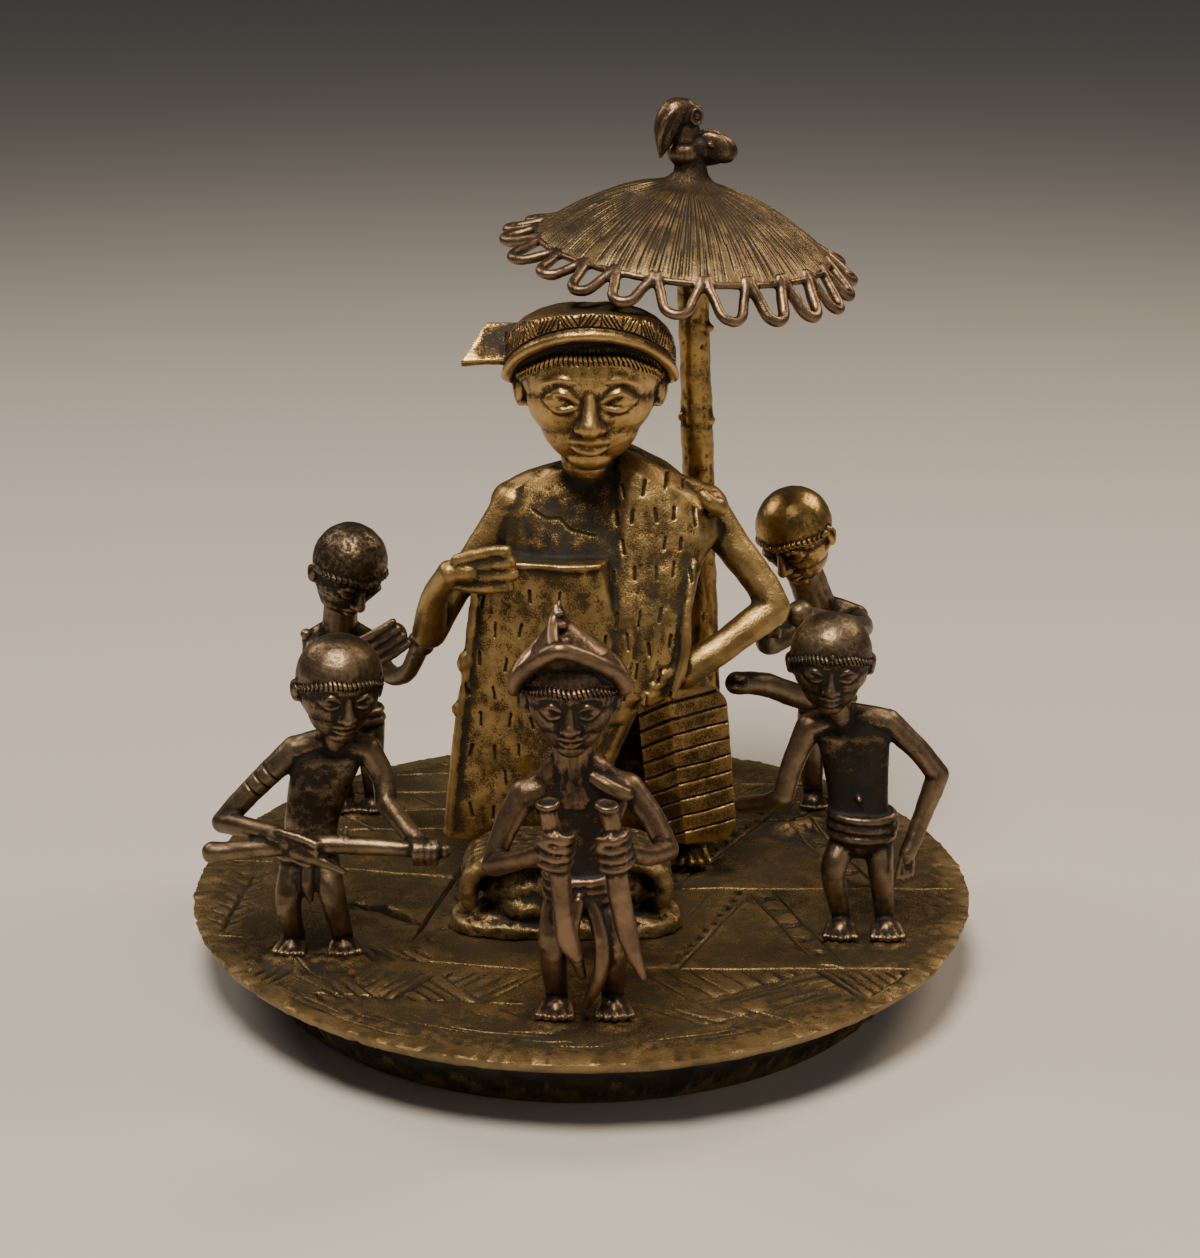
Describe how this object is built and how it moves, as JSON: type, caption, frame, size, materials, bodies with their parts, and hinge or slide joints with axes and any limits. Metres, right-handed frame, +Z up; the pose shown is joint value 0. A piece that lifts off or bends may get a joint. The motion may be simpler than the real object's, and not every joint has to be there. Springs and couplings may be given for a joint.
{
  "type": "cast brass figure group",
  "caption": "Cast brass group on a round disc with a foot ring: a seated chief under a fringed parasol topped by a bird, with small attendants and a low stool.",
  "frame": {"origin": "middle of the disc's foot ring, at the level that it stands on", "axes": "+Z up, -Y to the front that the chief faces, +X to the viewer's right"},
  "size_m": [0.2, 0.2, 0.218],
  "materials": {
    "base_brass": "rough cast brass with olive brown patina",
    "chief_brass": "cast brass worn bright on the high places, dark in the hollows",
    "parasol_brass": "cast brass with brown patina, fringe and beak worn smooth",
    "attendant_brass": "cast brass with grey brown patina, hands worn smooth"
  },
  "bodies": {
    "root": {"base": "base_brass", "chief": "chief_brass", "parasol": "parasol_brass", "low_stool": "base_brass", "attendant_front": "attendant_brass", "gun_bearer": "attendant_brass", "attendant_right": "attendant_brass", "supporter_left": "attendant_brass", "supporter_right": "attendant_brass"}
  },
  "joints": []
}
